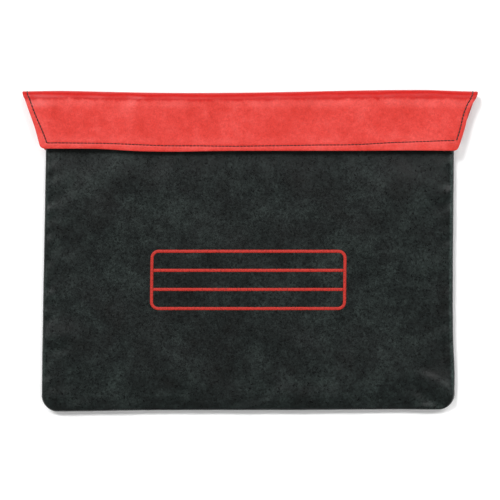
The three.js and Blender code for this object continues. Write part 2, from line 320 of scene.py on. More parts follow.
def coated_glass_cloth(name, from_cloth, deep, mid, light, rim, pits, shine, fold=None):
    """Polyurethane-coated glass cloth, calendered hot against a leather-grained roller. That gives
    soft cloudy shading where the coating is thicker or rubbed, a fine dark speckle in the pits of
    the grain, and a satin shine that breaks up on its pebbles: handling has rubbed their tops matt,
    and the pits keep the roller's polish. The real grain is about 1 mm; it is drawn at 1.7 mm so
    that it shows. rim is a lighter colour painted where the wear_and_highlight attribute is set: a
    painted highlight along a turned edge, partly rubbed wear. fold is a deeper colour painted round
    the fold: painted shade on the curve, partly the stretched, thinner coating there. pits are the
    shades of a pit and of a top, and shine is the specular level, then the roughness of a pit and
    of a top."""
    grain = 1.7 * MM
    material, tree, shader = start_material(name, ior=1.49)
    place = place_of(tree, from_cloth)
    cloud = add(
        tree, "ShaderNodeTexNoise",
        {"Vector": place, "Scale": 1 / (45 * MM), "Detail": 7.0, "Roughness": 0.6,
         "Distortion": 0.5},
    ).outputs["Fac"]
    rubbed = add(
        tree, "ShaderNodeTexNoise",
        {"Vector": place, "Scale": 1 / (9 * MM), "Detail": 5.0, "Roughness": 0.7},
    ).outputs["Fac"]
    worms = add(
        tree, "ShaderNodeTexNoise",
        {"Vector": place, "Scale": 1 / grain, "Detail": 1.0, "Roughness": 0.5, "Distortion": 1.2},
    ).outputs["Fac"]
    pebble = add(
        tree, "ShaderNodeTexVoronoi", {"Vector": place, "Scale": 1 / grain}, feature="F1",
    ).outputs["Distance"]
    mottle = add(
        tree, "ShaderNodeMix", {"Factor": 0.42, 2: cloud, 3: rubbed}, data_type="FLOAT",
    ).outputs[0]
    colour = shades(tree, mottle, [(0.36, deep), (0.5, mid), (0.64, light)])
    if fold:
        colour = fold_shade_band(tree, place, rubbed, colour, fold)
    # The rim colour mixed in here is a painted highlight along the turned edges, partly rubbed wear.
    wear_and_highlight = add(tree, "ShaderNodeAttribute", attribute_name="wear_and_highlight").outputs["Fac"]
    colour = add(
        tree, "ShaderNodeMix", {0: wear_and_highlight, 6: colour, 7: linear(rim)}, data_type="RGBA",
    ).outputs[2]
    depth = add(
        tree, "ShaderNodeMapRange",
        {"Value": worms, "From Min": 0.28, "From Max": 0.72, "To Min": pits[0], "To Max": pits[1]},
    ).outputs["Result"]
    pitted = add(tree, "ShaderNodeVectorMath", {0: colour, "Scale": depth}, operation="SCALE")
    tree.links.new(pitted.outputs["Vector"], shader.inputs["Base Color"])
    polish = add(
        tree, "ShaderNodeMix", {"Factor": 0.35, 2: worms, 3: rubbed}, data_type="FLOAT",
    ).outputs[0]
    tree.links.new(between(tree, polish, shine[1], shine[2]), shader.inputs["Roughness"])
    shader.inputs["Specular IOR Level"].default_value = shine[0]
    height = add(
        tree, "ShaderNodeMath", {0: pebble, 1: -0.5, 2: worms}, operation="MULTIPLY_ADD",
    ).outputs[0]
    relief = add(
        tree, "ShaderNodeBump", {"Strength": 0.4, "Distance": 0.12 * MM, "Height": height},
    )
    tree.links.new(relief.outputs["Normal"], shader.inputs["Normal"])
    return material


def fold_shade_band(tree, place, wander, colour, fold):
    """A deeper colour painted where the strip turns round the fold: painted shade on the curve,
    partly its stretched, thinner coating. The band ends a little raggedly, 1 mm or so either way."""
    run = add(tree, "ShaderNodeSeparateXYZ", {0: place}).outputs["Y"]
    ragged = add(
        tree, "ShaderNodeMath", {0: wander, 1: 7 * MM, 2: run}, operation="MULTIPLY_ADD",
    ).outputs[0]
    ragged = add(tree, "ShaderNodeMath", {0: ragged, 1: 3.5 * MM}, operation="SUBTRACT").outputs[0]
    rises = add(
        tree, "ShaderNodeMapRange",
        {"Value": ragged, "From Min": YOKE_RUN, "From Max": YOKE_RUN + 4 * MM},
    ).outputs["Result"]
    end = YOKE_RUN + FOLD_RUN
    falls = add(
        tree, "ShaderNodeMapRange",
        {"Value": ragged, "From Min": end + 1.8 * MM, "From Max": end - 0.6 * MM},
    ).outputs["Result"]
    band = add(tree, "ShaderNodeMath", {0: rises, 1: falls}, operation="MULTIPLY").outputs[0]
    # The deeper fold colour mixed in here is painted shade on the curve of the fold, partly its
    # stretched coating.
    mixed = add(
        tree, "ShaderNodeMix", {0: band, 6: colour, 7: linear(fold)}, data_type="RGBA",
    )
    return mixed.outputs[2]


def woven_cloth(name, from_cloth, dark, light, thread, roughness, gloss=0.5, lift=0.12):
    """A plain weave of two sets of threads that pass over and under each other."""
    material, tree, shader = start_material(name, roughness=roughness, ior=1.46)
    shader.inputs["Specular IOR Level"].default_value = gloss
    place = place_of(tree, from_cloth)
    turn = math.pi / thread
    split = add(tree, "ShaderNodeSeparateXYZ", {0: place})
    waves = []
    for axis in ("X", "Y"):
        angle = add(
            tree, "ShaderNodeMath", {0: split.outputs[axis], 1: turn}, operation="MULTIPLY",
        ).outputs[0]
        waves.append(add(tree, "ShaderNodeMath", {0: angle}, operation="SINE").outputs[0])
    check = add(
        tree, "ShaderNodeMath", {0: waves[0], 1: waves[1]}, operation="MULTIPLY",
    ).outputs[0]
    over = add(tree, "ShaderNodeMath", {0: check}, operation="ABSOLUTE").outputs[0]
    fuzz = add(
        tree, "ShaderNodeTexNoise", {"Vector": place, "Scale": 0.5 / thread, "Detail": 4.0},
    ).outputs["Fac"]
    mixed = add(
        tree, "ShaderNodeMix", {"Factor": 0.5, 2: over, 3: fuzz}, data_type="FLOAT",
    ).outputs[0]
    tree.links.new(shades(tree, mixed, [(0.2, dark), (0.7, light)]), shader.inputs["Base Color"])
    relief = add(
        tree, "ShaderNodeBump", {"Strength": 0.7, "Distance": lift * thread, "Height": mixed},
    )
    tree.links.new(relief.outputs["Normal"], shader.inputs["Normal"])
    return material


def needled_felt(name):
    """Needled glass felt: pale, matt, with short fibres lying all ways."""
    material, tree, shader = start_material(name, roughness=0.95, ior=1.5)
    shader.inputs["Sheen Weight"].default_value = 0.25
    place = place_of(tree, False)
    fibre = add(
        tree, "ShaderNodeTexNoise",
        {"Vector": place, "Scale": 1 / (0.9 * MM), "Detail": 6.0, "Distortion": 2.5},
    ).outputs["Fac"]
    lumps = add(
        tree, "ShaderNodeTexNoise", {"Vector": place, "Scale": 1 / (9 * MM), "Detail": 3.0},
    ).outputs["Fac"]
    mixed = add(
        tree, "ShaderNodeMix", {"Factor": 0.4, 2: fibre, 3: lumps}, data_type="FLOAT",
    ).outputs[0]
    colour = shades(tree, mixed, [(0.3, "B7B09B"), (0.5, "D6D0BD"), (0.7, "EAE6D8")])
    tree.links.new(colour, shader.inputs["Base Color"])
    relief = add(
        tree, "ShaderNodeBump", {"Strength": 0.8, "Distance": 0.2 * MM, "Height": mixed},
    )
    tree.links.new(relief.outputs["Normal"], shader.inputs["Normal"])
    return material


def twisted_thread(name, dark, light):
    """Bonded sewing thread: two plies twisted together, which shows as slanting ridges 0.9 mm
    apart along each stitch, with a low waxy shine."""
    material, tree, shader = start_material(name, roughness=0.48, ior=1.5)
    place = place_of(tree, True)
    ridges = add(
        tree, "ShaderNodeTexWave",
        {"Vector": place, "Scale": 1 / (1.9 * MM), "Distortion": 0.4},
        wave_type="BANDS", bands_direction="DIAGONAL",
    ).outputs["Fac"]
    tree.links.new(shades(tree, ridges, [(0.2, dark), (0.8, light)]), shader.inputs["Base Color"])
    relief = add(
        tree, "ShaderNodeBump", {"Strength": 0.7, "Distance": 0.08 * MM, "Height": ridges},
    )
    tree.links.new(relief.outputs["Normal"], shader.inputs["Normal"])
    return material


def screen_ink(name):
    """Plastisol ink screened on to the grain: flat red, a little thin in the grain's pits, so it
    is mottled and the coating's pebbles still show."""
    material, tree, shader = start_material(name, roughness=0.55, ior=1.48)
    shader.inputs["Specular IOR Level"].default_value = 0.25
    place = place_of(tree, False)
    pits = add(
        tree, "ShaderNodeTexNoise", {"Vector": place, "Scale": 1 / (1.2 * MM), "Detail": 4.0},
    ).outputs["Fac"]
    colour = shades(tree, pits, [(0.30, "761E18"), (0.46, "A2261E"), (0.62, "AC2C24")])
    tree.links.new(colour, shader.inputs["Base Color"])
    pebble = add(
        tree, "ShaderNodeTexVoronoi", {"Vector": place, "Scale": 1 / (1.5 * MM)},
    ).outputs["Distance"]
    relief = add(
        tree, "ShaderNodeBump", {"Strength": 0.4, "Distance": 0.08 * MM, "Height": pebble},
    )
    tree.links.new(relief.outputs["Normal"], shader.inputs["Normal"])
    return material


def nylon_pile(name, tuft, dark, light):
    """Nylon loop pile: a soft tangle of fine filaments that catches the light at its edges."""
    material, tree, shader = start_material(name, roughness=0.6, ior=1.53)
    shader.inputs["Specular IOR Level"].default_value = 0.25
    shader.inputs["Sheen Weight"].default_value = 0.03
    place = place_of(tree, False)
    curl = add(
        tree, "ShaderNodeTexNoise",
        {"Vector": place, "Scale": 1 / tuft, "Detail": 5.0, "Distortion": 3.0},
    ).outputs["Fac"]
    tree.links.new(shades(tree, curl, [(0.3, dark), (0.7, light)]), shader.inputs["Base Color"])
    relief = add(tree, "ShaderNodeBump", {"Strength": 1.0, "Distance": 0.3 * MM, "Height": curl})
    tree.links.new(relief.outputs["Normal"], shader.inputs["Normal"])
    return material


# The black shell's rim colour, 3A4643, is a painted highlight along its turned edges, partly rubbed
# wear.
black_shell = coated_glass_cloth(
    "coated_glass_cloth_black_leather_grain", False, "0A0C0B", "101514", "1D2422", "3A4643",
    (0.25, 1.75), (0.23, 0.24, 0.5),
)
# The red strip's fold colour, B00A02, is painted shade round the fold, partly its stretched, thinner
# coating.
red_strip = coated_glass_cloth(
    "coated_glass_cloth_red_leather_grain", True, "B92C23", "C43730", "CE4741", "D0554D",
    (0.86, 1.12), (0.28, 0.34, 0.48), "B00A02",
)
red_facing = coated_glass_cloth(
    "coated_glass_cloth_red_facing", True, "A82820", "B8332A", "C4433A", "C4534B",
    (0.92, 1.06), (0.4, 0.45, 0.6),
)
lining_cloth = woven_cloth(
    "silicone_coated_glass_weave", False, "8C8D88", "B9BAB4", 1.1 * MM, 0.42
)
felt = needled_felt("needled_glass_felt")
polyester_tape = woven_cloth(
    "woven_polyester_tape_black", True, "040505", "191B1B", 0.8 * MM, 0.7, gloss=0.22
)
black_thread = twisted_thread("bonded_thread_black", "0A0707", "241A19")
maroon_thread = twisted_thread("bonded_thread_maroon", "220707", "46110E")
ink = screen_ink("screened_red_ink")
loop_pile = nylon_pile("nylon_loop_pile_black", 0.7 * MM, "030303", "1F2121")
hook_nylon = nylon_pile("nylon_hooks_black", 0.4 * MM, "070808", "262929")


# ------------------------------------------------------------------ camera, light and floor

FRAME_WIDTH = 431 * MM
CAMERA_HEIGHT = 1.7
SENSOR = 36.0


def make_camera():
    data = bpy.data.cameras.new("camera")
    data.sensor_width = SENSOR
    data.lens = SENSOR * CAMERA_HEIGHT / FRAME_WIDTH
    camera = bpy.data.objects.new("camera", data)
    camera.location = (-0.5 * MM, 0.8 * MM, CAMERA_HEIGHT + BAG_TOP)
    bpy.context.scene.collection.objects.link(camera)
    bpy.context.scene.camera = camera


def make_softbox(name, place, brightness, mirrored=True):
    """A large softbox a long way off, so it lights the whole floor alike. It looks 22 degrees
    wide from the pouch, which gives a shadow with a soft edge. One that isn't mirrored is hidden
    from reflections, so it lightens the shadows and makes no shine on the coating."""
    data = bpy.data.lights.new(name, "SUN")
    data.angle = math.radians(22)
    data.energy = brightness
    lamp = bpy.data.objects.new(name, data)
    lamp.location = place
    lamp.rotation_euler = (-Vector(place)).to_track_quat("-Z", "Y").to_euler()
    lamp.visible_glossy = mirrored
    bpy.context.scene.collection.objects.link(lamp)


def make_stage():
    """A plain white sweep."""
    material, _, shader = start_material("white_sweep_paper", roughness=0.9)
    shader.inputs["Base Color"].default_value = linear("FAFAFA")
    shader.inputs["Specular IOR Level"].default_value = 0.1
    mesh = bpy.data.meshes.new("floor")
    half = 30.0
    mesh.from_pydata(
        [(-half, -half, 0), (half, -half, 0), (half, half, 0), (-half, half, 0)], [],
        [(0, 1, 2, 3)],
    )
    mesh.materials.append(material)
    floor = bpy.data.objects.new("floor", mesh)
    floor.location.z = -0.05 * MM
    bpy.context.scene.collection.objects.link(floor)


def make_studio():
    """A dim studio, with a white sweep all round it that is lit as brightly as the floor."""
    world = bpy.data.worlds.new("studio")
    world.use_nodes = True
    tree = world.node_tree
    looking = add(tree, "ShaderNodeTexCoord").outputs["Generated"]
    rise = add(tree, "ShaderNodeSeparateXYZ", {0: looking}).outputs["Z"]
    glow = add(
        tree, "ShaderNodeMapRange",
        {"Value": rise, "From Min": 0.085, "From Max": 0.13, "To Min": 1.1, "To Max": 0.27},
    ).outputs["Result"]
    tree.links.new(glow, tree.nodes["Background"].inputs["Strength"])
    tree.nodes["Background"].inputs["Color"].default_value = linear("FFFFFF")
    bpy.context.scene.world = world


make_camera()
make_stage()
make_softbox("upper_left_softbox", (-0.80, 1.00, 1.5), 2.5)
make_softbox("upper_right_softbox", (0.75, 0.95, 1.5), 1.35)
make_softbox("lower_left_softbox", (-0.80, -0.70, 1.5), 0.55, False)
make_softbox("lower_right_softbox", (0.80, -0.70, 1.5), 0.35, False)
make_studio()
bpy.context.scene.view_settings.view_transform = "Standard"


# ------------------------------------------------------------------ how the sewn cloth settles

def averaged(grid, times):
    """The grid with each point averaged with its neighbours, its border kept in place."""
    for _ in range(times):
        for axis in (0, 1):
            rows = np.moveaxis(grid, axis, 0)
            soft = rows.copy()
            soft[1:-1] = (rows[:-2] + 2 * rows[1:-1] + rows[2:]) / 4
            grid = np.moveaxis(soft, 0, axis)
    return grid


def settle_panel(columns=92, rows=68, frames=28):
    """Cloth simulation of the front panel: a sheet cut 0.6% larger than the seam it is sewn to, held
    all round and pushed up from inside by the insulation. It wrinkles at its corners and along
    its seams. Gives the wrinkles' heights on an even grid of places."""
    x = np.linspace(-HALF_BASE, HALF_BASE, columns)
    y = np.linspace(BASE_Y, FRONT_TOP_Y, rows)
    gx, gy = np.meshgrid(x, y)
    held = np.zeros(gx.shape, bool)
    held[[0, -1]] = True
    held[:, [0, -1]] = True
    uneven = 0.15 * MM * np.random.default_rng(4).uniform(-1, 1, gx.shape) * ~held
    index = np.arange(rows * columns).reshape(rows, columns)
    corners = [index[:-1, :-1], index[:-1, 1:], index[1:, 1:], index[1:, :-1]]
    mesh = bpy.data.meshes.new("panel_to_settle")
    mesh.from_pydata(
        np.stack([gx, gy, uneven], axis=-1).reshape(-1, 3).tolist(), [],
        np.stack([c.ravel() for c in corners], axis=1).tolist(),
    )
    panel = bpy.data.objects.new("panel_to_settle", mesh)
    bpy.context.scene.collection.objects.link(panel)
    seam = panel.vertex_groups.new(name="seam")
    seam.add(index[held].tolist(), 1.0, "REPLACE")
    cloth = panel.modifiers.new("cloth", "CLOTH")
    settings = cloth.settings
    settings.quality = 6
    settings.mass = 0.15
    settings.tension_stiffness = 30
    settings.compression_stiffness = 30
    settings.shear_stiffness = 12
    settings.bending_stiffness = 0.6
    settings.tension_damping = 10
    settings.compression_damping = 10
    settings.shear_damping = 10
    settings.air_damping = 2
    settings.vertex_group_mass = "seam"
    settings.shrink_min = -0.006
    settings.shrink_max = -0.006
    settings.use_pressure = True
    settings.uniform_pressure_force = 1.0
    settings.effector_weights.gravity = 0
    cloth.collision_settings.use_collision = False
    cloth.point_cache.frame_end = frames
    for number in range(1, frames + 1):
        bpy.context.scene.frame_set(number)
    settled = panel.evaluated_get(bpy.context.evaluated_depsgraph_get()).data
    places = np.empty(len(settled.vertices) * 3, np.float32)
    settled.vertices.foreach_get("co", places)
    height = places.reshape(rows, columns, 3)[..., 2].astype(float)
    bpy.data.objects.remove(panel)
    bpy.data.meshes.remove(mesh)
    bpy.context.scene.frame_set(1)
    wrinkles = averaged(height, 2) - averaged(height, 60)
    return x, y, 0.6 * MM * np.tanh(wrinkles / (0.8 * MM))


settled_x, settled_y, settled_height = settle_panel()


def settled(x, y):
    """The settled wrinkles' height at a place, read between the points of their grid."""
    columns, rows = len(settled_x), len(settled_y)
    u = np.clip((x - settled_x[0]) / (settled_x[-1] - settled_x[0]), 0, 1) * (columns - 1.001)
    v = np.clip((y - settled_y[0]) / (settled_y[-1] - settled_y[0]), 0, 1) * (rows - 1.001)
    i, j = v.astype(int), u.astype(int)
    s, t = v - i, u - j
    low = settled_height[i, j] * (1 - t) + settled_height[i, j + 1] * t
    high = settled_height[i + 1, j] * (1 - t) + settled_height[i + 1, j + 1] * t
    return low * (1 - s) + high * s


# ------------------------------------------------------------------ bag surface

ROLL = 3 * MM  # how far in from the seam the shell turns over
soft_sag = Waves(3, 70 * MM, 170 * MM)
soft_ripple = Waves(11, 26 * MM, 60 * MM)
seam_pucker = Waves(5, 8 * MM, 17 * MM)


def half_width(y):
    return HALF_BASE + (HALF_MOUTH - HALF_BASE) * (y - BASE_Y) / (BACK_TOP_Y - BASE_Y)


def corner_cut(up, radius=CORNER):
    """How much a round corner takes off the half width, at a height above the base."""
    short = np.clip(radius - up, 0, radius)
    return radius - np.sqrt(np.maximum(radius * radius - short * short, 0))


def inset_of(x, y):
    """Distance in from the bag's outline, round its base corners too."""
    side = half_width(y) - np.abs(x)
    base = y - BASE_Y
    across = np.maximum(CORNER - side, 0)
    down = np.maximum(CORNER - base, 0)
    rounded = CORNER - np.hypot(across, down)
    return np.where((across > 0) & (down > 0), rounded, np.minimum(side, base))


def lean(x, y):
    """The bag doesn't lie quite square: its left side leans out, its right side draws in."""
    down = (MOUTH_Y - y) / (MOUTH_Y - BASE_Y)
    left = smooth(0.5 - x / (2 * HALF_BASE))
    right_draw = 0.9 + 2.1 * smooth(down / 0.7) - 0.9 * smooth((down - 0.8) / 0.2)
    right_draw = right_draw - 0.85 * bump(down - 0.86, 0.07)
    shift_x = -2.1 * MM * smooth(down) * left - right_draw * MM * (1 - left)
    low = smooth(1 - (y - BASE_Y) / (70 * MM))
    drop = 1.2 * smooth((-x - 60 * MM) / (110 * MM)) + 0.35 * bump(x - 158 * MM, 20 * MM)
    drop = drop - 0.8 * smooth((x - 30 * MM) / (120 * MM))
    return x + shift_x, y - drop * MM * low


def ridge(x, y, start, end, width, height):
    """A soft fold in the cloth from one place to another. Its places, width and height are in
    millimetres, as in CREASES."""
    start = np.array(start) * MM
    end = np.array(end) * MM
    run = end - start
    t = ((x - start[0]) * run[0] + (y - start[1]) * run[1]) / (run @ run)
    inside = np.clip(t, 0, 1)
    away = np.hypot(x - start[0] - inside * run[0], y - start[1] - inside * run[1])
    ends = smooth(inside / 0.35) * smooth((1 - inside) / 0.35)
    return height * MM * bump(away, width * MM) * ends


def shell_profile(inset, roll_height, full_height, settle):
    """Where a point of the shell goes near the seam: how far in it is, and how high above the
    seam. The cloth comes out of the seam's groove, rolls over and then rises slowly."""
    q = np.clip(inset / ROLL, 0, 1)
    in_groove = np.clip(q / 0.12, 0, 1)
    turn = np.clip((q - 0.12) / 0.88, 0, 1) * math.pi / 2
    lip = 0.5 * MM
    across = np.where(q < 0.12, 0.45 * MM * (1 - in_groove), ROLL * (1 - np.cos(turn)))
    height = np.where(q < 0.12, lip * in_groove, lip + (roll_height - lip) * np.sin(turn))
    rise = (full_height - roll_height) * (1 - np.exp(-np.maximum(inset - ROLL, 0) / settle))
    return np.where(inset < ROLL, across, inset), height + rise


def outward(x, y):
    step = 0.05 * MM
    gx = inset_of(x + step, y) - inset_of(x - step, y)
    gy = inset_of(x, y + step) - inset_of(x, y - step)
    size = np.hypot(gx, gy) + 1e-12
    return -gx / size, -gy / size


# The front's creases: from, to, width and height, in millimetres.
CREASES = [
    ((138, -100), (192, -139), 5.5, 2.1),
    ((134, -111), (182, -145), 6, -2.6),
    ((-96, -139), (-30, -139), 11, -1.5),
    ((-94, -130), (-32, -129), 8, 1.3),
    ((22, -139), (98, -139), 10, -1.3),
    ((18, -129), (104, -128), 10, 1.7),
    ((84, -139), (150, -139), 12, -1.5),
    ((96, 48), (184, 52), 24, 1.5),
    ((-184, -82), (-148, -68), 7, 0.8),
    ((-180, -88), (-150, -82), 4, -0.8),
    ((-66, -139), (-50, -116), 5, -1.1),
    ((20, -139), (34, -112), 7, 0.6),
    ((92, -142), (112, -112), 8, 0.8),
    ((-186, -118), (-150, -128), 6, 0.9),
    ((-120, -142), (-104, -120), 7, 0.7),
    ((180, 44), (156, 34), 5, -0.7),
    ((-30, -60), (95, -96), 12, 0.5),
    ((-150, 60), (-40, 20), 14, -0.5),
]


def front_relief(x, y, inset):
    """The front's softness: broad sag and ripples, the wrinkles it settles into, a ridge over the
    seam allowance with a valley inside it, puckers between the stitches and a few creases."""
    free = smooth((inset - ROLL) / (26 * MM))
    sag = 0.5 * MM * soft_sag(x, y) + 0.2 * MM * soft_ripple(x, y)
    pucker = 0.3 * MM * seam_pucker(x, y) * bump(inset - 4 * MM, 6 * MM)
    uneven = 0.65 + 0.35 * soft_ripple(x, y + 0.3)
    beside = smooth((y - BASE_Y - 22 * MM) / (22 * MM))
    valley = -0.3 * MM * uneven * bump(inset - 9 * MM, 4.5 * MM) * beside
    rim = 0.3 * MM * uneven * bump(inset - 2.6 * MM, 1.5 * MM) * beside
    creases = sum(ridge(x, y, *crease) for crease in CREASES)
    below = y < FLAP_EDGE_Y
    pressed = -1.3 * MM * bump(y - FLAP_EDGE_Y, np.where(below, 17 * MM, 8 * MM))
    shape = free * sag + pucker + valley + rim + pressed + creases * smooth(inset / (3.5 * MM))
    shape = shape + 0.9 * settled(x, y) * smooth(inset / (5 * MM))
    under_flap = smooth((y - 76 * MM) / (14 * MM))
    return np.minimum(shape, 1.7 * MM - 1.55 * MM * under_flap)


def rolled(x, y, inset, across, depth):
    """Where a point lies seen flat once the cloth has rolled in to the seam, and how much of its
    depth stands upright there."""
    out_x, out_y = outward(x, y)
    side = np.clip(1 - inset / ROLL, 0, 1)
    moved = inset - across - depth * side
    leaned_x, leaned_y = lean(x + out_x * moved, y + out_y * moved)
    return leaned_x, leaned_y, np.sqrt(np.clip(1 - side * side, 0, 1))


def bag_front(x, y, depth=0.0):
    """A point of the front panel, depth under its outer face."""
    inset = inset_of(x, y)
    from_side = np.maximum(half_width(y) - np.abs(x), 0.1 * MM)
    from_base = np.maximum(y - BASE_Y, 0.1 * MM)
    by_base = from_side ** 2 / (from_side ** 2 + from_base ** 2)
    across, height = shell_profile(
        inset, (4.0 - 0.6 * by_base) * MM, BAG_TOP - SEAM_Z, (5 + 3 * by_base) * MM
    )
    x2, y2, upright = rolled(x, y, inset, across, depth)
    z = SEAM_Z + 0.06 * MM + height + front_relief(x, y, inset) - depth * upright
    return np.stack([x2, y2, np.maximum(z, SEAM_Z + 0.05 * MM)], axis=-1)


LAP = 1.3 * MM  # how far the back panel rises to go under the yoke


def bag_back(x, y, depth=0.0):
    """A point of the back panel, depth above its outer face."""
    inset = inset_of(x, y)
    across, height = shell_profile(inset, 4.7 * MM, SEAM_Z - 0.06 * MM, 5 * MM)
    x2, y2, upright = rolled(x, y, inset, across, depth)
    pucker = 0.2 * MM * seam_pucker(x + 0.3, y) * bump(inset - 4 * MM, 5 * MM)
    low = np.maximum(SEAM_Z - 0.06 * MM - height + np.maximum(pucker, 0), 0)
    low = np.maximum(low, LAP * smooth((y - YOKE_EDGE_Y + 2.5 * MM) / (2.2 * MM)))
    z = low + depth * upright
    return np.stack([x2, y2, np.minimum(z, SEAM_Z - 0.05 * MM)], axis=-1)


SIDE_FINE = np.array([0, 0.18, 0.36, 0.6, 0.9, 1.25, 1.6, 2, 2.5, 3, 4, 5.5, 7.5, 10, 13, 17]) * MM
BASE_FINE = np.insert(SIDE_FINE, 1, 0.06 * MM)


def bag_grid(inset, top_y, step=2.6 * MM):
    """Flat places over the bag's outline, drawn in by inset, close together near the seam."""
    low_y = BASE_Y + inset
    radius = max(CORNER - inset, 1 * MM)
    up = edge_steps(BASE_FINE, step, top_y - low_y)
    rows = []
    for rise in up:
        y = low_y + rise
        half = half_width(y) - inset - corner_cut(rise, radius)
        x = across_row(half, SIDE_FINE, step, HALF_BASE)
        rows.append(np.stack([x, np.full_like(x, y)], axis=1))
    return np.array(rows)


def make_bag_panels():
    grid = bag_grid(0, FRONT_TOP_Y)
    x, y = grid[..., 0], grid[..., 1]
    inset = inset_of(x, y)
    # A painted highlight along the turned edge, 2.5 mm in from the seam, faint on the left and much
    # stronger on the right, partly rubbed wear.
    patchy = 0.04 + 0.06 * soft_ripple(x, y + 0.1) + 0.48 * smooth(x / HALF_BASE)
    wear_and_highlight = bump(inset - 2.5 * MM, 0.9 * MM) * patchy * smooth((y - BASE_Y - 8 * MM) / (20 * MM))
    front = make_sheet(
        "front_panel", bag_front(x, y), bag_front(x, y, SHELL), black_shell,
        "bag", wear_and_highlight=np.clip(wear_and_highlight, 0, 1),
    )
    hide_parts("front_shell")
    grid = bag_grid(0, BACK_TOP_Y)
    x, y = grid[..., 0], grid[..., 1]
    back = make_sheet(
        "back_panel", bag_back(x, y, SHELL), bag_back(x, y), black_shell,
        "bag",
    )
    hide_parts("back_shell")


def make_inner_plies():
    """The felts and linings, which follow the panels from inside."""
    inset = 9.5 * MM
    under_front = SHELL + PLY_GAP
    over_back = 2.05 * MM
    plies = [
        ("front_felt", "front_insulation", felt, "glass_felt", 1, under_front, FELT,
         FRONT_TOP_Y - 0.6 * MM, "front_lining_cloth"),
        ("front_lining_cloth", "front_lining", lining_cloth, "coated_glass_cloth", 1,
         under_front + FELT + PLY_GAP, LINING, MOUTH_Y - 10.3 * MM, "back_lining_cloth"),
        ("back_felt", "back_insulation", felt, "glass_felt", -1, over_back, FELT,
         BACK_TOP_Y - 0.4 * MM, "back_panel"),
        ("back_lining_cloth", "back_lining", lining_cloth, "coated_glass_cloth", -1,
         over_back + FELT + PLY_GAP, LINING, BACK_TOP_Y - 0.2 * MM, "back_felt"),
    ]
    for name, node, material, slot, facing, level, thickness, top_y, under in plies:
        grid = bag_grid(inset, top_y, 4 * MM)
        x, y = grid[..., 0], grid[..., 1]
        if facing > 0:
            upper = bag_front(x, y, level)
            lower = bag_front(x, y, level + thickness)
        else:
            lower = np.stack([*lean(x, y), np.full_like(x, level)], axis=-1)
            ripple = 0.12 * MM * soft_ripple(x, y + 0.4)
            lower[..., 2] += np.abs(ripple) * 0.5
            upper = lower + [0, 0, thickness]
        ply = make_sheet(name, upper, lower, material, "bag")
        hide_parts(node)


# ------------------------------------------------------------------ seam inside the bag

def seam_path(inset, top_y, corners=16):
    """The line that follows the left side, the base and the right side, drawn in by inset."""
    radius = CORNER - inset
    low_y = BASE_Y + inset
    half = half_width(low_y) - inset
    angles = np.linspace(math.pi, 1.5 * math.pi, corners)
    left = np.stack([
        radius - half + radius * np.cos(angles), low_y + radius + radius * np.sin(angles),
    ], axis=1)
    right = left[::-1] * [-1, 1]
    side_y = np.linspace(top_y, low_y + radius, 60, endpoint=False)
    side = np.stack([-(half_width(side_y) - inset), side_y], axis=1)
    base_x = np.linspace(radius - half, half - radius, 80)[1:-1]
    base = np.stack([base_x, np.full_like(base_x, low_y)], axis=1)
    path = np.concatenate([side, left, base, right, side[::-1] * [-1, 1]])
    x, y = lean(path[:, 0], path[:, 1])
    return np.stack([x, y], axis=1)


def make_seam_binding():
    """The tape folded over the seam's raw edges: a flat U, open towards the seam."""
    half_slot = 0.875 * MM
    bevel = 0.7 * TAPE
    outer, inner = 1.5 * MM, 8.25 * MM
    upper = [
        (outer, half_slot + TAPE), (inner, half_slot + TAPE), (inner + bevel, half_slot + bevel),
        (inner + TAPE, half_slot),
    ]
    lower = [(inset, -z) for inset, z in reversed(upper)]
    slot = [(outer, -half_slot), (inner, -half_slot), (inner, half_slot), (outer, half_slot)]
    section = upper + lower + slot
    loops = []
    for inset, z in section:
        line = seam_path(inset, FRONT_TOP_Y)
        loops.append(np.column_stack([line, np.full(len(line), SEAM_Z + z)]))
    loops = np.array(loops)
    count, length = loops.shape[:2]
    index = np.arange(count * length).reshape(count, length)
    after = np.roll(index, -1, axis=0)
    quads = np.stack(
        [index[:, :-1], after[:, :-1], after[:, 1:], index[:, 1:]], axis=2
    ).reshape(-1, 4).tolist()
    caps = [index[::-1, 0].tolist(), index[:, -1].tolist()]
    run = np.linspace(0, 0.88, length)
    place = np.zeros((count, length, 3))
    place[..., 0] = run
    place[..., 1] = (np.arange(count) * 1.1 * MM)[:, None]
    tape = make_piece(
        "seam_tape", loops, quads + caps, polyester_tape, "bag",
        place.reshape(-1, 3),
    )
    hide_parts("seam_binding")
    path = seam_path(5.3 * MM, FRONT_TOP_Y - 2 * MM)
    for name, node, facing in (
        ("seam_needle_stitches", "seam_needle_thread", 1),
        ("seam_bobbin_stitches", "seam_bobbin_thread", -1),
    ):
        z = SEAM_Z + facing * (half_slot + TAPE + 0.05 * MM)
        row = level_row(path, SEAM_PITCH, z, facing)
        stitches = make_stitches(name, [row], SEAM_THREAD, black_thread, "bag")
        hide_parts(node)


